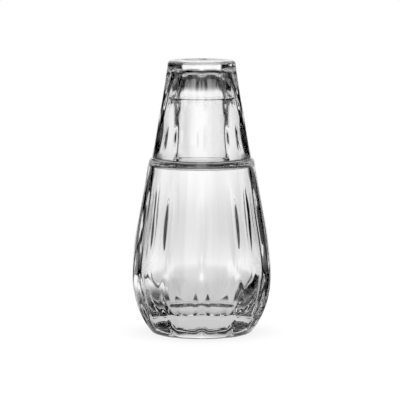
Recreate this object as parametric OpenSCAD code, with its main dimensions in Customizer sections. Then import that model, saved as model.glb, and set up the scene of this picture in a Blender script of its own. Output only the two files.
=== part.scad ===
// Bedside carafe with its tumbler, in clear cut glass.
// The carafe is an egg-shaped bottle with a flat shoulder and a plain flared neck.
// The tumbler stands upside down over the neck, and its rim rests on the shoulder.
// The origin is at the middle of the underside, and +Z is up along the axis.

/* [Carafe body] */
// Diameter of the carafe at its widest ring
belly_d = 110; // [100:1:124]
// Height of the widest ring above the table
belly_z = 44; // [38:1:50]
// Diameter where the rounded wall comes down to the table
base_d = 78; // [72:1:88]
// Height of the shoulder ledge above the table
shoulder_z = 139; // [128:1:152]
// Width of the ledge that shows outside the tumbler's rim
ledge_margin = 2.2; // [2.2:0.1:4]
// Radius that rounds the shoulder's outer edge
shoulder_edge_r = 3; // [1.5:0.1:3]
// Thickness of the carafe's wall below the shoulder
wall_t = 5; // [4:0.1:7]
// Thickness of the carafe's wall at its widest ring
belly_wall_t = 6.5; // [5.5:0.1:9]
// Thickness of the glass under the water
floor_t = 9; // [8:0.5:18]
// Diameter of the flat floor in the middle of the bowl
floor_d = 22; // [4:1:40]
// Radius that rounds the edge at the table
foot_edge_r = 4; // [2:0.1:5]

/* [Neck] */
// Height of the neck above the shoulder ledge
neck_h = 48; // [40:1:52]
// Outside diameter of the neck at its waist
neck_d = 44; // [42:0.5:45]
// Diameter of the pouring bore
neck_bore_d = 38; // [32:0.5:39]
// Outside diameter of the flared lip
lip_d = 48; // [46.5:0.5:49]
// Height over which the neck flares out to the lip
lip_flare_h = 10; // [8:0.5:16]
// Thickness of the glass at the lip
lip_t = 3; // [2.8:0.1:3.4]
// Radius of the hollow between the shoulder and the neck
neck_root_r = 4; // [3:0.5:8]

/* [Tumbler] */
// Height of the tumbler
tumbler_h = 77; // [74:1:90]
// Outside diameter of the tumbler at its rim
tumbler_rim_d = 78.4; // [76:0.2:84]
// Outside diameter of the tumbler at its base
tumbler_base_d = 53; // [52:0.2:60]
// Thickness of the tumbler's wall at the rim
tumbler_rim_t = 2.8; // [2.2:0.1:3.4]
// Thickness of the tumbler's wall where its inside starts to curve in
tumbler_wall_t = 3.8; // [3.2:0.1:4.4]
// Thickness of the tumbler's base
tumbler_base_t = 6.5; // [5:0.5:12]
// Radius that rounds the tumbler's base edge
tumbler_edge_r = 3; // [2:0.1:4.5]
// Diameter of the tumbler's floor
tumbler_floor_d = 37; // [34:1:38]
// Radius of the corner round the tumbler's floor
tumbler_corner_r = 6; // [4:0.5:8]
// Height over which the tumbler's inside curves in to its floor
tumbler_bowl_h = 18; // [14:1:22]
// Radius of that curve where it leaves the wall
tumbler_bowl_r = 50; // [30:1:50]

/* [Cut flutes] */
// Number of flutes in every row
flute_count = 12; // [8:1:14]
// Radius of the wheel's edge that cuts the long flutes
long_flute_r = 11; // [8:0.5:16]
// Depth of the long flutes at their two ends
long_flute_depth = 0.4; // [0.3:0.1:0.8]
// Height of the long flutes' lower ends above the widest ring
long_flute_rise = 17; // [14:1:24]
// Drop from the shoulder to the long flutes' upper ends
long_flute_drop = 20; // [14:1:30]
// Radius of the wheel's edge that cuts the flutes round the carafe's foot
foot_flute_r = 14; // [10:0.5:16]
// Depth of the foot flutes midway
foot_flute_depth = 1.8; // [1:0.1:2.2]
// Height of the foot flutes' lower ends above the table
foot_flute_start = 4.5; // [4:0.5:8]
// Height of the foot flutes' upper ends above the widest ring
foot_flute_rise = 9; // [4:0.5:10]
// Radius of the wheel's edge that cuts the petals below the tumbler's base
petal_r = 12; // [9:0.5:16]
// Depth of the petals midway
petal_depth = 1.2; // [0.6:0.1:1.6]
// Plain wall between the tumbler's rounded base edge and the petals
petal_gap = 2; // [0:0.5:3]
// Length of the petals
petal_length = 35; // [28:1:36]
// Radius of the wheel's edge that cuts the slim flutes near the tumbler's rim
slim_flute_r = 9; // [7:0.5:14]
// Depth of the slim flutes midway
slim_flute_depth = 1; // [0.5:0.1:1.3]
// Height of the slim flutes' lower ends above the rim
slim_flute_rise = 6.5; // [4:0.5:10]
// Length of the slim flutes
slim_flute_length = 23; // [16:1:26]

/* [Hidden] */
$fn = 96;

// Points along each rounded corner and along each long curve
corner_steps = 6;
curve_steps = 10;
// Length by which a cutter runs on past the glass
overrun = 10;
// Part of the widest possible arc that the wall keeps above the belly
belly_arc_share = 0.7;
// Depth of the hollow under the carafe, and the width of the ring it leaves to stand on
foot_hollow = 1.2;
foot_ring_w = 7;
// Depth of the hollow in the tumbler's base, and the width of the ring round it
tumbler_hollow = 0.8;
tumbler_ring_w = 3;
// Thickness of the shoulder, and the inside radii where it meets the wall and the bore
shoulder_t = 4;
ceiling_corner_r = 4;
bore_root_r = 2;
// Radius on the edges of the lip and of the tumbler's rim
lip_edge_r = 0.7;
rim_edge_r = 0.8;

belly_r = belly_d / 2;
base_r = base_d / 2;
neck_r = neck_d / 2;
bore_r = neck_bore_d / 2;
lip_r = lip_d / 2;
floor_r = floor_d / 2;
rim_r = tumbler_rim_d / 2;
tumbler_base_r = tumbler_base_d / 2;
tumbler_floor_r = tumbler_floor_d / 2;
shoulder_r = rim_r + ledge_margin;
lip_z = shoulder_z + neck_h;
ceiling_z = shoulder_z - shoulder_t;
tumbler_top_z = shoulder_z + tumbler_h;
tumbler_floor_z = tumbler_top_z - tumbler_base_t;

// Lower wall: an arc that stands upright at the belly and comes down to the base diameter
foot_inset = belly_r - base_r;
foot_arc_r = (belly_z ^ 2 + foot_inset ^ 2) / (2 * foot_inset);
foot_arc_center = [belly_r - foot_arc_r, belly_z];

// Upper wall: an arc that stands upright at the belly, then a straight line to the shoulder
shoulder_inset = belly_r - shoulder_r;
wall_rise = shoulder_z - belly_z;
belly_arc_r = belly_arc_share * (wall_rise ^ 2 + shoulder_inset ^ 2) / (2 * shoulder_inset);
belly_arc_center = [belly_r - belly_arc_r, belly_z];
shoulder_corner = [shoulder_r, shoulder_z];
to_shoulder = shoulder_corner - belly_arc_center;
wall_lean = atan2(to_shoulder.y, to_shoulder.x) - acos(belly_arc_r / norm(to_shoulder));

function unit(v) = v / norm(v);
function on_circle(center, r, angle) = center + r * [cos(angle), sin(angle)];

// Points along an arc, from one angle to another
function arc(center, r, from, to, steps) =
    [for (i = [0:steps]) on_circle(center, r, from + (to - from) * i / steps)];

// Points of the arc that rounds one corner of an outline
function rounded_corner(before, corner, after, r, steps = corner_steps) =
    let (
        u = unit(before - corner),
        v = unit(after - corner),
        half = acos(u * v) / 2,
        center = corner + unit(u + v) * r / sin(half),
        first = corner + u * r / tan(half) - center,
        last = corner + v * r / tan(half) - center,
        from = atan2(first.y, first.x),
        turn = atan2(first.x * last.y - first.y * last.x, first * last)
    )
    arc(center, r, from, from + turn, steps);

// Points of an outline made of straight runs: each corner is [place, rounding radius]
function rounded_run(before, corners, after) =
    [for (i = [0:len(corners) - 1])
        let (
            prev = i == 0 ? before : corners[i - 1][0],
            next = i == len(corners) - 1 ? after : corners[i + 1][0]
        )
        each rounded_corner(prev, corners[i][0], next, corners[i][1])];

// The rounded edge at the table, and the arc from there up to the belly
function foot_wall() =
    let (
        reach = foot_arc_r - foot_edge_r,
        drop = foot_edge_r - belly_z,
        center = [foot_arc_center.x + sqrt(reach ^ 2 - drop ^ 2), foot_edge_r],
        angle = asin(drop / reach)
    )
    concat(
        arc(center, foot_edge_r, -90, angle, corner_steps),
        arc(foot_arc_center, foot_arc_r, angle, 0, curve_steps)
    );

// A place on the carafe's outer wall: the foot arc, the belly arc or the straight run above them
function on_wall(z) =
    let (arc_top_z = belly_z + belly_arc_r * sin(wall_lean))
    z > arc_top_z
        ? [shoulder_r + (shoulder_z - z) * tan(wall_lean), z]
        : z > belly_z
            ? [belly_arc_center.x + sqrt(belly_arc_r ^ 2 - (z - belly_z) ^ 2), z]
            : [foot_arc_center.x + sqrt(foot_arc_r ^ 2 - (z - belly_z) ^ 2), z];

// A place on the carafe's inner wall, which tapers straight up from the belly to the shoulder
function on_cavity(z) =
    let (
        low_r = belly_r - belly_wall_t,
        high_r = on_wall(ceiling_z).x - wall_t
    )
    [low_r + (high_r - low_r) * (z - belly_z) / (ceiling_z - belly_z), z];

// A place on the tumbler's outer wall
function on_tumbler(z) =
    [rim_r + (tumbler_base_r - rim_r) * (z - shoulder_z) / tumbler_h, z];

// The neck's flare from an upright run out to the lip
function flare(from_r, to_r) =
    let (
        out = to_r - from_r,
        r = (lip_flare_h ^ 2 + out ^ 2) / (2 * out),
        end = 180 - asin(lip_flare_h / r)
    )
    arc([from_r + r, lip_z - lip_flare_h], r, 180, end, corner_steps);

function reversed(points) = [for (i = [len(points) - 1:-1:0]) points[i]];
function all_but_last(points) = [for (i = [0:len(points) - 2]) points[i]];

// A shallow hollow, from the axis out to a ring: a positive depth hollows upward
function hollow(ring_r, z, depth) =
    let (
        r = (ring_r ^ 2 + depth ^ 2) / (2 * abs(depth)),
        side = sign(depth),
        center = [0, z + depth - side * r],
        end = asin(ring_r / r)
    )
    arc(center, r, side * 90, side * (90 - end), corner_steps);

// Outline of the carafe's glass, from the axis at the underside to the axis at the floor
function carafe_outline() =
    let (
        outer_flare = flare(neck_r, lip_r),
        inner_flare = flare(bore_r, lip_r - lip_t),
        ceiling_corner = on_cavity(ceiling_z),
        floor_corner = on_cavity(floor_t),
        floor_middle = [0, floor_t],
        floor_angle = acos(unit(floor_middle - floor_corner) * unit(ceiling_corner - floor_corner)),
        bowl_r = (floor_corner.x - floor_r) * tan(floor_angle / 2)
    )
    concat(
        hollow(base_r - foot_ring_w, 0, foot_hollow),
        foot_wall(),
        arc(belly_arc_center, belly_arc_r, 0, wall_lean, curve_steps),
        rounded_run(
            on_wall(shoulder_z - wall_rise / 2),
            [[shoulder_corner, shoulder_edge_r], [[neck_r, shoulder_z], neck_root_r]],
            [neck_r, lip_z]
        ),
        all_but_last(outer_flare),
        rounded_run(
            outer_flare[corner_steps - 1],
            [[[lip_r, lip_z], lip_edge_r], [[lip_r - lip_t, lip_z], lip_edge_r]],
            inner_flare[corner_steps - 1]
        ),
        reversed(all_but_last(inner_flare)),
        rounded_run(
            [bore_r, lip_z],
            [[[bore_r, ceiling_z], bore_root_r], [ceiling_corner, ceiling_corner_r]],
            floor_corner
        ),
        rounded_corner(ceiling_corner, floor_corner, floor_middle, bowl_r, curve_steps),
        [floor_middle]
    );

// Outline of the tumbler's glass, from the axis at its floor to the axis at its base
function tumbler_outline() =
    let (
        bowl_corner = on_tumbler(tumbler_floor_z - tumbler_bowl_h) - [tumbler_wall_t, 0],
        floor_middle = [0, tumbler_floor_z],
        base_corner = [tumbler_base_r, tumbler_top_z]
    )
    concat(
        [floor_middle],
        rounded_run(
            floor_middle,
            [
                [[tumbler_floor_r, tumbler_floor_z], tumbler_corner_r],
                [bowl_corner, tumbler_bowl_r],
                [[rim_r - tumbler_rim_t, shoulder_z], rim_edge_r],
                [[rim_r, shoulder_z], rim_edge_r],
                [base_corner, tumbler_edge_r]
            ],
            [0, tumbler_top_z]
        ),
        reversed(hollow(tumbler_base_r - tumbler_edge_r - tumbler_ring_w, tumbler_top_z, -tumbler_hollow))
    );

// Copies of a cut all round the axis
module ring_of_cuts() {
    for (i = [0:flute_count - 1])
        rotate([0, 0, i * 360 / flute_count])
            children();
}

// A quarter of a disc, which a revolve turns into half a ball
module quarter_disc(r) {
    intersection() {
        circle(r);
        square([r, r]);
    }
}

// A straight, round-ended cutter between two places on a wall, as [radius, height]
module bar_cutter(low, high, edge_r, depth) {
    run = high - low;
    outward = unit([run.y, -run.x]);
    start = low + outward * (edge_r - depth);
    translate([start.x, 0, start.y])
        rotate([0, atan2(run.x, run.y), 0])
            rotate_extrude() {
                square([edge_r, norm(run)]);
                translate([0, norm(run)])
                    quarter_disc(edge_r);
                mirror([0, 1])
                    quarter_disc(edge_r);
            }
}

// A cutter with a round section that sweeps along an arc in the plane of the axis
module arc_cutter(center, path_r, from, to, edge_r) {
    spare = overrun / path_r * 180 / PI;
    translate([center.x, 0, center.y])
        rotate([90, 0, 0])
            rotate([0, 0, from - spare])
                rotate_extrude(angle = to - from + 2 * spare)
                    translate([path_r, 0])
                        circle(edge_r);
}

// A wheel that dips into a straight wall between two places, as [radius, height]
module wheel_cutter(low, high, edge_r, depth) {
    run = high - low;
    outward = unit([run.y, -run.x]);
    half = norm(run) / 2;
    wheel_r = (half ^ 2 + depth ^ 2) / (2 * depth);
    inward_angle = atan2(-outward.y, -outward.x);
    reach = asin(half / wheel_r);
    arc_cutter(
        (low + high) / 2 + outward * (wheel_r - depth),
        wheel_r - edge_r,
        inward_angle - reach,
        inward_angle + reach,
        edge_r
    );
}

// A cutter that dips into the rounded foot along a flatter arc than the wall's own
module foot_cutter() {
    low = on_wall(foot_flute_start);
    high = on_wall(belly_z + foot_flute_rise);
    run = high - low;
    outward = unit([run.y, -run.x]);
    half = norm(run) / 2;
    middle = on_wall((low.y + high.y) / 2);
    bulge = (middle - low) * outward - foot_flute_depth;
    path_r = (half ^ 2 + bulge ^ 2) / (2 * bulge);
    outward_angle = atan2(outward.y, outward.x);
    reach = asin(half / path_r);
    arc_cutter(
        (low + high) / 2 - outward * (path_r - bulge),
        path_r + foot_flute_r,
        outward_angle - reach,
        outward_angle + reach,
        foot_flute_r
    );
}

// The carafe's body with its long flutes, before the foot flutes are cut
module long_fluted_body() {
    difference() {
        rotate_extrude()
            polygon(carafe_outline());
        ring_of_cuts()
            bar_cutter(
                on_wall(belly_z + long_flute_rise),
                on_wall(shoulder_z - long_flute_drop),
                long_flute_r,
                long_flute_depth
            );
    }
}

module carafe() {
    color("azure", 0.5)
        difference() {
            long_fluted_body();
            ring_of_cuts()
                foot_cutter();
        }
}

// The tumbler's body with its slim flutes, before the petals are cut
module slim_fluted_body() {
    low_z = shoulder_z + slim_flute_rise;
    difference() {
        rotate_extrude()
            polygon(tumbler_outline());
        ring_of_cuts()
            wheel_cutter(
                on_tumbler(low_z),
                on_tumbler(low_z + slim_flute_length),
                slim_flute_r,
                slim_flute_depth
            );
    }
}

module tumbler() {
    high_z = tumbler_top_z - tumbler_edge_r - petal_gap;
    color("aliceblue", 0.5)
        difference() {
            slim_fluted_body();
            ring_of_cuts()
                wheel_cutter(
                    on_tumbler(high_z - petal_length),
                    on_tumbler(high_z),
                    petal_r,
                    petal_depth
                );
        }
}

carafe();
tumbler();
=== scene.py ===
"""The looks of a bedside carafe with its tumbler: two pieces of clear cut glass on a pale floor.

Each piece is one closed mesh, a revolved outline whose outer wall is cut by rows of flutes.
Lengths are metres, and angles are radians where no comment says degrees.
The frame is the part's own: +Z up, origin under the carafe.
"""
import functools
import math
from collections import namedtuple

import bpy
import numpy as np
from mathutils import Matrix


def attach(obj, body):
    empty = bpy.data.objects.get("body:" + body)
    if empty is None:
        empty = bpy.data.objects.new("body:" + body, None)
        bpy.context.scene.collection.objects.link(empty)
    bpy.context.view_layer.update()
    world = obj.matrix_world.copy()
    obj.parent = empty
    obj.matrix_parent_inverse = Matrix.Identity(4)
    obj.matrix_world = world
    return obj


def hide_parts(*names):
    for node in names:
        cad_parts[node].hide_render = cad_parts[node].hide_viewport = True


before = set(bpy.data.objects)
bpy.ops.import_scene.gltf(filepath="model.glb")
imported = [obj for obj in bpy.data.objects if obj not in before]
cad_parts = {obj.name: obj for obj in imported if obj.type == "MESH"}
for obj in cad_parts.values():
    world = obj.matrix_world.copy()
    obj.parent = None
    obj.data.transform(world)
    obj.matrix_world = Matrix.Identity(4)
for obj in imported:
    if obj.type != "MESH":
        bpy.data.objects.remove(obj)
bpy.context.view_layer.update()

# Sizes of the carafe
BELLY_R = 0.055
BELLY_Z = 0.044
BASE_R = 0.039
SHOULDER_Z = 0.139
LEDGE_MARGIN = 0.0022
SHOULDER_EDGE_R = 0.003
WALL_T = 0.005
BELLY_WALL_T = 0.0065
FLOOR_T = 0.009
FLOOR_R = 0.011
FOOT_EDGE_R = 0.004
FOOT_HOLLOW = 0.0012
FOOT_RING_W = 0.007
SHOULDER_T = 0.004
CEILING_CORNER_R = 0.004
BELLY_ARC_SHARE = 0.7

# Sizes of the neck
NECK_H = 0.048
NECK_R = 0.022
BORE_R = 0.019
LIP_R = 0.024
LIP_FLARE_H = 0.010
LIP_T = 0.003
LIP_EDGE_R = 0.0007
NECK_ROOT_R = 0.004
BORE_ROOT_R = 0.002

# Sizes of the tumbler
TUMBLER_H = 0.077
TUMBLER_RIM_R = 0.0392
TUMBLER_BASE_R = 0.0265
TUMBLER_RIM_T = 0.0028
TUMBLER_WALL_T = 0.0038
TUMBLER_BASE_T = 0.0065
TUMBLER_EDGE_R = 0.003
TUMBLER_FLOOR_R = 0.0185
TUMBLER_CORNER_R = 0.006
TUMBLER_BOWL_H = 0.018
TUMBLER_BOWL_R = 0.050
TUMBLER_HOLLOW = 0.0008
TUMBLER_RING_W = 0.003
RIM_EDGE_R = 0.0008

# Rows of cuts: heights of the two ends, radius of the wheel's edge, and the depth midway
FluteRow = namedtuple("FluteRow", "low_z high_z edge_r depth")
TUMBLER_TOP_Z = SHOULDER_Z + TUMBLER_H
FLUTE_COUNT = 12
LONG_FLUTES = FluteRow(0.058, 0.121, 0.011, 0.0011)
FOOT_FLUTES = FluteRow(0.0045, 0.053, 0.014, 0.0018)
SLIM_FLUTES = FluteRow(0.1455, 0.1685, 0.009, 0.0010)
PETALS = FluteRow(0.176, 0.211, 0.012, 0.0012)

# Fineness of the meshes, and the softness of a polished cut's edge
COLUMNS_PER_FLUTE = 32
WALL_STEP = 0.001
ROUND_STEP = 0.0006
SMOOTH_STEP = 0.002
CUT_EDGE_SOFTNESS = 0.0004
SAME_POINT = 1e-7

# Glass: the ripples of hand-finished glass, and the faint smears on its polish
GLASS_COLOR = (1, 1, 1, 1)
GLASS_IOR = 1.52
RIPPLES_PER_M = 40
RIPPLE_DEPTH = 0.0003
RIPPLE_STRETCH = (1, 1, 0.3)
SMEARS_PER_M = 45
SMEAR_EDGES = (0.45, 0.75)
SMEAR_ROUGHNESS = 0.01
NOISE_DETAIL = 2

# Camera
CAMERA_DISTANCE = 2.5
CAMERA_HEIGHT = 0.4065
CAMERA_SIDE = -0.00127
CAMERA_PITCH = math.radians(6.87)
CAMERA_LENS_MM = 286.6
SENSOR_MM = 36

# Floor: distances from the axis, and tones from 0 to 1 of the painted light and shade that the glass
# meets
STAGE_R = 3.0
FLOOR_COLUMNS = 96
FLOOR_FADE_START_R = 1.2
FLOOR_SHADOW_SHARE = 0.15
FLOOR_SHADOW_EDGES = (0.15, 0.45)
# Painted shadow of the object, which only the glass meets: the floor is this dark near the axis and white
# far out
FLOOR_PAINTED_SHADOW_TONE = 0.62
FLOOR_NEAR_R = 0.15
FLOOR_FAR_R = 1.0
# A disc of painted light under the foot, which only the glass meets
FLOOR_PAINTED_LIGHT_EDGES = (0.04, 0.055)

# White panels of the dark room that only the glass meets: degrees, and tops as a direction's rise
Panel = namedtuple("Panel", "turn half_width top_edges")
BACK_TOP = (0.09, 0.30)
FRONT_TOP = (0.60, 0.80)
PANELS = (
    Panel(0, 24, BACK_TOP),
    Panel(-90, 12, BACK_TOP),
    Panel(135, 18, BACK_TOP),
    Panel(180, 30, FRONT_TOP),
)
PANEL_SOFTNESS = 2
ROOM_TONE = 0.0

# Strips of painted light on the floor that only the glass meets: turns in degrees
FLOOR_STRIP_TURNS = (-45, 135)
FLOOR_STRIP_SIDES = (0.055, 0.075)
FLOOR_STRIP_STARTS = (0.045, 0.14)
FLOOR_STRIP_ENDS = (0.9, 1.1)

# Light
LIGHT_HEIGHT = 1.4
LIGHT_SIZE = 0.9
LIGHT_WATTS = 12
LIGHT_BOUNCES = 32
GLOSSY_BOUNCES = 16


def on_circle(center, radius, angle):
    return np.array([center[0] + radius * math.cos(angle), center[1] + radius * math.sin(angle)])


def arc(center, radius, start, end, step):
    """Points along an arc from one angle to another, no further apart than a step"""
    count = max(2, math.ceil(abs(end - start) * radius / step))
    return np.array([on_circle(center, radius, angle) for angle in np.linspace(start, end, count + 1)])


def line(start, end, step):
    """Points along a straight line, no further apart than a step"""
    start = np.asarray(start, float)
    end = np.asarray(end, float)
    count = max(1, math.ceil(np.linalg.norm(end - start) / step))
    return np.array([start + (end - start) * share for share in np.linspace(0, 1, count + 1)])


def unit(vector):
    return vector / np.linalg.norm(vector)


def rounded_corner(before, corner, after, radius, step=ROUND_STEP):
    """Points of the arc that rounds one corner of an outline"""
    corner = np.asarray(corner, float)
    back = unit(np.asarray(before, float) - corner)
    ahead = unit(np.asarray(after, float) - corner)
    half = math.acos(np.dot(back, ahead)) / 2
    center = corner + unit(back + ahead) * radius / math.sin(half)
    first = corner + back * radius / math.tan(half) - center
    last = corner + ahead * radius / math.tan(half) - center
    start = math.atan2(first[1], first[0])
    turn = math.atan2(first[0] * last[1] - first[1] * last[0], np.dot(first, last))
    return arc(center, radius, start, start + turn, step)


def hollow(ring_r, z, depth):
    """A shallow hollow from the axis out to a ring: a positive depth hollows upward"""
    radius = (ring_r ** 2 + depth ** 2) / (2 * abs(depth))
    side = math.copysign(1, depth)
    end = math.asin(ring_r / radius)
    center = (0, z + depth - side * radius)
    return arc(center, radius, side * math.pi / 2, side * (math.pi / 2 - end), SMOOTH_STEP)


def joined(*runs):
    """One outline from several runs of points, without repeated points"""
    points = np.concatenate([np.atleast_2d(np.asarray(run, float)) for run in runs])
    gaps = np.linalg.norm(np.diff(points, axis=0), axis=1)
    return points[np.concatenate([[True], gaps > SAME_POINT])]


# The carafe's wall: an arc below the belly, an arc above it, then a straight run to the shoulder
SHOULDER_R = TUMBLER_RIM_R + LEDGE_MARGIN
LIP_Z = SHOULDER_Z + NECK_H
CEILING_Z = SHOULDER_Z - SHOULDER_T
FOOT_INSET = BELLY_R - BASE_R
FOOT_ARC_R = (BELLY_Z ** 2 + FOOT_INSET ** 2) / (2 * FOOT_INSET)
FOOT_ARC_CENTER = (BELLY_R - FOOT_ARC_R, BELLY_Z)
SHOULDER_INSET = BELLY_R - SHOULDER_R
WALL_RISE = SHOULDER_Z - BELLY_Z
BELLY_ARC_R = BELLY_ARC_SHARE * (WALL_RISE ** 2 + SHOULDER_INSET ** 2) / (2 * SHOULDER_INSET)
BELLY_ARC_CENTER = (BELLY_R - BELLY_ARC_R, BELLY_Z)
TO_SHOULDER = (SHOULDER_R - BELLY_ARC_CENTER[0], SHOULDER_Z - BELLY_ARC_CENTER[1])
SHOULDER_ANGLE = math.atan2(TO_SHOULDER[1], TO_SHOULDER[0])
WALL_LEAN = SHOULDER_ANGLE - math.acos(BELLY_ARC_R / math.hypot(*TO_SHOULDER))


def foot_wall():
    """The rounded edge at the table, and the arc from there up to the belly"""
    reach = FOOT_ARC_R - FOOT_EDGE_R
    drop = FOOT_EDGE_R - BELLY_Z
    center = (FOOT_ARC_CENTER[0] + math.sqrt(reach ** 2 - drop ** 2), FOOT_EDGE_R)
    angle = math.asin(drop / reach)
    edge = arc(center, FOOT_EDGE_R, -math.pi / 2, angle, ROUND_STEP)
    return edge, arc(FOOT_ARC_CENTER, FOOT_ARC_R, angle, 0, WALL_STEP)


def on_cavity(z):
    """A place on the carafe's inner wall, which tapers straight up from the belly to the shoulder"""
    low_r = BELLY_R - BELLY_WALL_T
    high_r = SHOULDER_R + SHOULDER_T * math.tan(WALL_LEAN) - WALL_T
    share = (z - BELLY_Z) / (CEILING_Z - BELLY_Z)
    return np.array([low_r + (high_r - low_r) * share, z])


def flare(from_r, to_r):
    """The neck's flare from an upright run out to the lip"""
    out = to_r - from_r
    radius = (LIP_FLARE_H ** 2 + out ** 2) / (2 * out)
    end = math.pi - math.asin(LIP_FLARE_H / radius)
    return arc((from_r + radius, LIP_Z - LIP_FLARE_H), radius, math.pi, end, SMOOTH_STEP)


def carafe_outline():
    """The carafe's glass in three runs: underside, outer wall, and the rest down to the inner floor"""
    foot_edge, lower_wall = foot_wall()
    underside = joined(hollow(BASE_R - FOOT_RING_W, 0, FOOT_HOLLOW), foot_edge)
    belly = arc(BELLY_ARC_CENTER, BELLY_ARC_R, 0, WALL_LEAN, WALL_STEP)
    shoulder = rounded_corner(belly[-1], (SHOULDER_R, SHOULDER_Z), (NECK_R, SHOULDER_Z), SHOULDER_EDGE_R)
    wall = joined(lower_wall, belly, line(belly[-1], shoulder[0], WALL_STEP))
    outer_flare = flare(NECK_R, LIP_R)[:-1]
    inner_flare = flare(BORE_R, LIP_R - LIP_T)[:-1]
    lip_outside = (LIP_R, LIP_Z)
    lip_inside = (LIP_R - LIP_T, LIP_Z)
    bore_foot = (BORE_R, CEILING_Z)
    ceiling_corner = on_cavity(CEILING_Z)
    floor_corner = on_cavity(FLOOR_T)
    floor_middle = (0, FLOOR_T)
    to_ceiling = unit(ceiling_corner - floor_corner)
    bowl_r = (floor_corner[0] - FLOOR_R) * math.tan(math.acos(-to_ceiling[0]) / 2)
    rest = joined(
        shoulder,
        rounded_corner((SHOULDER_R, SHOULDER_Z), (NECK_R, SHOULDER_Z), (NECK_R, LIP_Z), NECK_ROOT_R),
        outer_flare,
        rounded_corner(outer_flare[-1], lip_outside, lip_inside, LIP_EDGE_R),
        rounded_corner(lip_outside, lip_inside, inner_flare[-1], LIP_EDGE_R),
        inner_flare[::-1],
        rounded_corner((BORE_R, LIP_Z), bore_foot, ceiling_corner, BORE_ROOT_R),
        rounded_corner(bore_foot, ceiling_corner, floor_corner, CEILING_CORNER_R),
        rounded_corner(ceiling_corner, floor_corner, floor_middle, bowl_r, SMOOTH_STEP),
        floor_middle,
    )
    return underside[:-1], wall, rest[1:]


def on_tumbler(z):
    share = (z - SHOULDER_Z) / TUMBLER_H
    return np.array([TUMBLER_RIM_R + (TUMBLER_BASE_R - TUMBLER_RIM_R) * share, z])


def tumbler_outline():
    """The tumbler's glass in three runs: inside with the rim, outer wall, and the base with its edge"""
    floor_z = TUMBLER_TOP_Z - TUMBLER_BASE_T
    floor_middle = (0, floor_z)
    floor_corner = (TUMBLER_FLOOR_R, floor_z)
    bowl_z = floor_z - TUMBLER_BOWL_H
    bowl_corner = (on_tumbler(bowl_z)[0] - TUMBLER_WALL_T, bowl_z)
    rim_inside = (TUMBLER_RIM_R - TUMBLER_RIM_T, SHOULDER_Z)
    rim_outside = (TUMBLER_RIM_R, SHOULDER_Z)
    base_corner = (TUMBLER_BASE_R, TUMBLER_TOP_Z)
    rim = rounded_corner(rim_inside, rim_outside, base_corner, RIM_EDGE_R)
    base_edge = rounded_corner(rim_outside, base_corner, (0, TUMBLER_TOP_Z), TUMBLER_EDGE_R)
    ring_r = TUMBLER_BASE_R - TUMBLER_EDGE_R - TUMBLER_RING_W
    inside = joined(
        floor_middle,
        rounded_corner(floor_middle, floor_corner, bowl_corner, TUMBLER_CORNER_R),
        rounded_corner(floor_corner, bowl_corner, rim_inside, TUMBLER_BOWL_R),
        rounded_corner(bowl_corner, rim_inside, rim_outside, RIM_EDGE_R),
        rim,
    )
    wall = line(rim[-1], base_edge[0], WALL_STEP)
    base = joined(base_edge, hollow(ring_r, TUMBLER_TOP_Z, -TUMBLER_HOLLOW)[::-1])
    return inside[:-1], wall, base[1:]


def lengths_along(points):
    """Distance of each point of an outline from its first"""
    steps = np.linalg.norm(np.diff(points, axis=0), axis=1)
    return np.concatenate([[0], np.cumsum(steps)])


def outward_normals(points):
    """Unit normals of an outline that climbs, pointing away from the axis"""
    tangents = np.gradient(points, axis=0)
    tangents /= np.linalg.norm(tangents, axis=1)[:, None]
    return np.column_stack([tangents[:, 1], -tangents[:, 0]])


def row_depth(row, wall, along, across):
    """How deep one row's wheel cuts at each place of a wall, below zero where it stays clear"""
    low, high = np.interp((row.low_z, row.high_z), wall[:, 1], along)
    off_middle = (along - (low + high) / 2) / ((high - low) / 2)
    depth = row.depth * (1 - off_middle ** 2)
    return depth[:, None] - across ** 2 * (1 / row.edge_r + 1 / wall[:, 0])[:, None] / 2


def softened(depth):
    """A cut's depth with its edge eased, so that the polished edge isn't a crease"""
    return (depth + np.sqrt(depth ** 2 + CUT_EDGE_SOFTNESS ** 2)) / 2


def turn_angles():
    return np.arange(FLUTE_COUNT * COLUMNS_PER_FLUTE) * 2 * math.pi / (FLUTE_COUNT * COLUMNS_PER_FLUTE)


def wall_cuts(wall, rows):
    """Depth of all the cuts at each point of a wall and each turn angle"""
    pitch = 2 * math.pi / FLUTE_COUNT
    from_middle = (turn_angles() + pitch / 2) % pitch - pitch / 2
    across = wall[:, :1] * from_middle[None, :]
    along = lengths_along(wall)
    return sum(softened(row_depth(row, wall, along, across)) for row in rows)


def revolved(name, radii, heights):
    """A closed mesh from rings of points, of which the first and the last are one point on the axis"""
    angles = turn_angles()
    columns = len(angles)
    rings = np.stack([radii * np.cos(angles), radii * np.sin(angles), heights], axis=2)[1:-1]
    ends = [(0, 0, heights[0, 0]), (0, 0, heights[-1, 0])]
    points = np.concatenate([rings.reshape(-1, 3), ends])
    ring_count = len(rings)
    here = np.arange(columns)
    ahead = (here + 1) % columns
    faces = []
    for ring in range(ring_count - 1):
        low = ring * columns
        high = low + columns
        faces += np.stack([low + here, low + ahead, high + ahead, high + here], axis=1).tolist()
    first_end = ring_count * columns
    top = (ring_count - 1) * columns
    faces += [[first_end, a, b] for a, b in zip(ahead.tolist(), here.tolist())]
    faces += [[first_end + 1, top + a, top + b] for a, b in zip(here.tolist(), ahead.tolist())]
    mesh = bpy.data.meshes.new(name)
    mesh.from_pydata(points.tolist(), [], faces)
    mesh.shade_smooth()
    piece = bpy.data.objects.new(name, mesh)
    bpy.context.scene.collection.objects.link(piece)
    return piece


def plain_rings(points):
    """Radii and heights of an outline that the cuts don't reach, the same at every turn angle"""
    columns = FLUTE_COUNT * COLUMNS_PER_FLUTE
    return np.repeat(points[:, :1], columns, axis=1), np.repeat(points[:, 1:], columns, axis=1)


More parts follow.
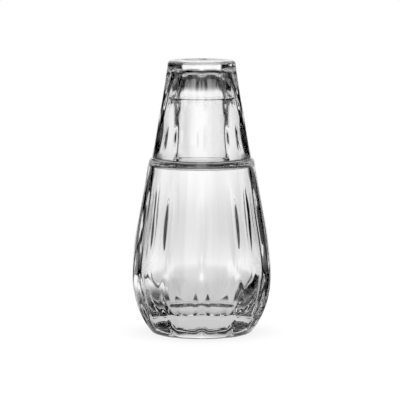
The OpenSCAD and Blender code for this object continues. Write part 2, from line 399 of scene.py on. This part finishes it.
def make_carafe():
    underside, wall, rest = carafe_outline()
    cuts = wall_cuts(wall, [LONG_FLUTES, FOOT_FLUTES])
    normals = outward_normals(wall)
    wall_radii = wall[:, :1] - normals[:, :1] * cuts
    wall_heights = wall[:, 1:] - normals[:, 1:] * cuts
    under_radii, under_heights = plain_rings(underside)
    rest_radii, rest_heights = plain_rings(rest)
    radii = np.concatenate([under_radii, wall_radii, rest_radii])
    heights = np.concatenate([under_heights, wall_heights, rest_heights])
    return revolved("carafe_cut_glass", radii, heights)


def make_tumbler():
    inside, wall, base = tumbler_outline()
    cuts = wall_cuts(wall, [SLIM_FLUTES, PETALS])
    inside_radii, inside_heights = plain_rings(inside)
    base_radii, base_heights = plain_rings(base)
    radii = np.concatenate([inside_radii, wall[:, :1] - cuts, base_radii])
    heights = np.concatenate([inside_heights, plain_rings(wall)[1], base_heights])
    return revolved("tumbler_cut_glass", radii, heights)


def math_node(tree, operation, first, second=0):
    """The output of a maths node, whose inputs are numbers or other outputs"""
    node = tree.nodes.new("ShaderNodeMath")
    node.operation = operation
    for socket, value in zip(node.inputs, (first, second)):
        if isinstance(value, bpy.types.NodeSocket):
            tree.links.new(value, socket)
        else:
            socket.default_value = value
    return node.outputs[0]


def ramp_node(tree, value, start, end, low=0, high=1):
    """A value eased from low at the start to high at the end"""
    node = tree.nodes.new("ShaderNodeMapRange")
    node.interpolation_type = "SMOOTHSTEP"
    tree.links.new(value, node.inputs["Value"])
    for name, number in (("From Min", start), ("From Max", end), ("To Min", low), ("To Max", high)):
        node.inputs[name].default_value = number
    return node.outputs["Result"]


def mixed(tree, low, high, share):
    """low + (high - low) * share"""
    difference = math_node(tree, "SUBTRACT", high, low)
    return math_node(tree, "ADD", low, math_node(tree, "MULTIPLY", difference, share))


def noise_node(tree, position, per_metre):
    """The output of a noise with so many swells to the metre"""
    node = tree.nodes.new("ShaderNodeTexNoise")
    node.inputs["Scale"].default_value = per_metre
    node.inputs["Detail"].default_value = NOISE_DETAIL
    tree.links.new(position, node.inputs["Vector"])
    return node.outputs["Fac"]


def clear_glass(name):
    """Clear glass whose surface ripples faintly along the axis and is a little smeared in places"""
    material = bpy.data.materials.new(name)
    material.use_nodes = True
    tree = material.node_tree
    shader = tree.nodes["Principled BSDF"]
    shader.inputs["Base Color"].default_value = GLASS_COLOR
    shader.inputs["Transmission Weight"].default_value = 1
    shader.inputs["IOR"].default_value = GLASS_IOR
    place = tree.nodes.new("ShaderNodeTexCoord").outputs["Object"]
    stretched = tree.nodes.new("ShaderNodeVectorMath")
    stretched.operation = "MULTIPLY"
    stretched.inputs[1].default_value = RIPPLE_STRETCH
    tree.links.new(place, stretched.inputs[0])
    ripples = tree.nodes.new("ShaderNodeBump")
    ripples.inputs["Distance"].default_value = RIPPLE_DEPTH
    tree.links.new(noise_node(tree, stretched.outputs[0], RIPPLES_PER_M), ripples.inputs["Height"])
    tree.links.new(ripples.outputs["Normal"], shader.inputs["Normal"])
    smears = ramp_node(tree, noise_node(tree, place, SMEARS_PER_M), *SMEAR_EDGES, 0, SMEAR_ROUGHNESS)
    tree.links.new(smears, shader.inputs["Roughness"])
    return material


def seen_through_glass(tree):
    """1 for a ray that the glass has bent or reflected"""
    path = tree.nodes.new("ShaderNodeLightPath")
    return math_node(tree, "MAXIMUM", path.outputs["Is Glossy Ray"], path.outputs["Is Transmission Ray"])


def turn_and_height(tree, position):
    """The turn about the axis, from +Y towards +X, and the height of a position or a direction"""
    parts = tree.nodes.new("ShaderNodeSeparateXYZ")
    tree.links.new(position, parts.inputs[0])
    return math_node(tree, "ARCTAN2", parts.outputs["X"], parts.outputs["Y"]), parts.outputs["Z"]


def panel_share(tree, turn, panel):
    """1 in the directions of a panel and 0 beside it"""
    off_middle = math_node(tree, "COSINE", math_node(tree, "SUBTRACT", turn, math.radians(panel.turn)))
    outer = math.cos(math.radians(panel.half_width + PANEL_SOFTNESS))
    inner = math.cos(math.radians(panel.half_width - PANEL_SOFTNESS))
    return ramp_node(tree, off_middle, outer, inner)


def highest(tree, values):
    """The highest of several outputs"""
    return functools.reduce(lambda first, second: math_node(tree, "MAXIMUM", first, second), values)


def make_world():
    """A white surround, in which the glass meets a dark room with white panels in it"""
    world = bpy.data.worlds.new("studio")
    world.use_nodes = True
    bpy.context.scene.world = world
    tree = world.node_tree
    background = tree.nodes["Background"]
    direction = tree.nodes.new("ShaderNodeTexCoord")
    turn, rise = turn_and_height(tree, direction.outputs["Generated"])
    tops = [ramp_node(tree, rise, *panel.top_edges, 1, 0) for panel in PANELS]
    sides = [panel_share(tree, turn, panel) for panel in PANELS]
    panels = highest(tree, [math_node(tree, "MULTIPLY", side, top) for side, top in zip(sides, tops)])
    room = mixed(tree, ROOM_TONE, 1, panels)
    tree.links.new(mixed(tree, 1, room, seen_through_glass(tree)), background.inputs["Color"])
    background.inputs["Strength"].default_value = 1


def floor_strip(tree, turn, distance, degrees):
    """1 along a strip of painted light on the floor that runs out from under the object, and 0 beside it
    """
    off_middle = math_node(tree, "SUBTRACT", turn, math.radians(degrees))
    out = math_node(tree, "MULTIPLY", distance, math_node(tree, "COSINE", off_middle))
    aside = math_node(tree, "MULTIPLY", distance, math_node(tree, "SINE", off_middle))
    between_sides = ramp_node(tree, math_node(tree, "ABSOLUTE", aside), *FLOOR_STRIP_SIDES, 1, 0)
    past_start = ramp_node(tree, out, *FLOOR_STRIP_STARTS)
    before_end = ramp_node(tree, out, *FLOOR_STRIP_ENDS, 1, 0)
    between_ends = math_node(tree, "MULTIPLY", past_start, before_end)
    return math_node(tree, "MULTIPLY", between_sides, between_ends)


def pale_floor():
    """White to the camera with the object's shadow, and to the glass painted light and shade: dark but
    for pale and white parts
    """
    material = bpy.data.materials.new("pale_floor")
    material.use_nodes = True
    tree = material.node_tree
    tree.nodes.remove(tree.nodes["Principled BSDF"])
    place = tree.nodes.new("ShaderNodeTexCoord")
    length = tree.nodes.new("ShaderNodeVectorMath")
    length.operation = "LENGTH"
    tree.links.new(place.outputs["Object"], length.inputs[0])
    from_axis = length.outputs["Value"]
    # Painted shadow: to the glass the floor darkens towards the object
    painted_shadow_tone = ramp_node(tree, from_axis, FLOOR_NEAR_R, FLOOR_FAR_R, FLOOR_PAINTED_SHADOW_TONE, 1)
    turn, _ = turn_and_height(tree, place.outputs["Object"])
    # Painted light to the glass: pale below the panels and in a disc under the foot, elsewhere the dark
    # room's painted shade
    foot = ramp_node(tree, from_axis, *FLOOR_PAINTED_LIGHT_EDGES, 1, 0)
    pale = highest(tree, [panel_share(tree, turn, panel) for panel in PANELS] + [foot])
    strips = [floor_strip(tree, turn, from_axis, degrees) for degrees in FLOOR_STRIP_TURNS]
    painted_light_and_shade = highest(tree, [mixed(tree, ROOM_TONE, painted_shadow_tone, pale)] + strips)
    through_glass = seen_through_glass(tree)
    glow = tree.nodes.new("ShaderNodeEmission")
    tree.links.new(mixed(tree, 1, painted_light_and_shade, through_glass), glow.inputs["Color"])
    matt = tree.nodes.new("ShaderNodeBsdfDiffuse")
    clear = tree.nodes.new("ShaderNodeBsdfTransparent")
    surface = tree.nodes.new("ShaderNodeMixShader")
    shadow_share = ramp_node(tree, from_axis, *FLOOR_SHADOW_EDGES, FLOOR_SHADOW_SHARE, 0)
    tree.links.new(mixed(tree, shadow_share, 0, through_glass), surface.inputs["Fac"])
    tree.links.new(glow.outputs[0], surface.inputs[1])
    tree.links.new(matt.outputs[0], surface.inputs[2])
    faded = tree.nodes.new("ShaderNodeMixShader")
    tree.links.new(ramp_node(tree, from_axis, FLOOR_FADE_START_R, STAGE_R), faded.inputs["Fac"])
    tree.links.new(surface.outputs[0], faded.inputs[1])
    tree.links.new(clear.outputs[0], faded.inputs[2])
    tree.links.new(faded.outputs[0], tree.nodes["Material Output"].inputs["Surface"])
    return material


def make_floor():
    """A pale floor that fades into the white surround and keeps the object's shadow"""
    turns = np.arange(FLOOR_COLUMNS) * 2 * math.pi / FLOOR_COLUMNS
    mesh = bpy.data.meshes.new("floor")
    rim = np.column_stack([STAGE_R * np.cos(turns), STAGE_R * np.sin(turns), np.zeros(FLOOR_COLUMNS)])
    mesh.from_pydata(rim.tolist(), [], [list(range(FLOOR_COLUMNS))])
    floor = bpy.data.objects.new("floor", mesh)
    bpy.context.scene.collection.objects.link(floor)
    mesh.materials.append(pale_floor())


def make_light():
    """A soft light overhead"""
    light = bpy.data.lights.new("overhead", "AREA")
    light.shape = "DISK"
    light.size = LIGHT_SIZE
    light.energy = LIGHT_WATTS
    lamp = bpy.data.objects.new("overhead", light)
    lamp.location = (0, 0, LIGHT_HEIGHT)
    lamp.visible_glossy = False
    lamp.visible_transmission = False
    bpy.context.scene.collection.objects.link(lamp)


def make_camera():
    camera = bpy.data.cameras.new("camera")
    camera.lens = CAMERA_LENS_MM
    camera.sensor_width = SENSOR_MM
    viewer = bpy.data.objects.new("camera", camera)
    viewer.location = (CAMERA_SIDE, -CAMERA_DISTANCE, CAMERA_HEIGHT)
    viewer.rotation_euler = (math.pi / 2 - CAMERA_PITCH, 0, 0)
    bpy.context.scene.collection.objects.link(viewer)
    bpy.context.scene.camera = viewer


carafe = make_carafe()
carafe.data.materials.append(clear_glass("carafe_glass"))
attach(carafe, "carafe")
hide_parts("carafe")

tumbler = make_tumbler()
tumbler.data.materials.append(clear_glass("tumbler_glass"))
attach(tumbler, "tumbler")
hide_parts("tumbler")

make_camera()
make_floor()
make_light()
make_world()

scene = bpy.context.scene
scene.view_settings.view_transform = "Standard"
scene.cycles.max_bounces = LIGHT_BOUNCES
scene.cycles.transmission_bounces = LIGHT_BOUNCES
scene.cycles.glossy_bounces = GLOSSY_BOUNCES
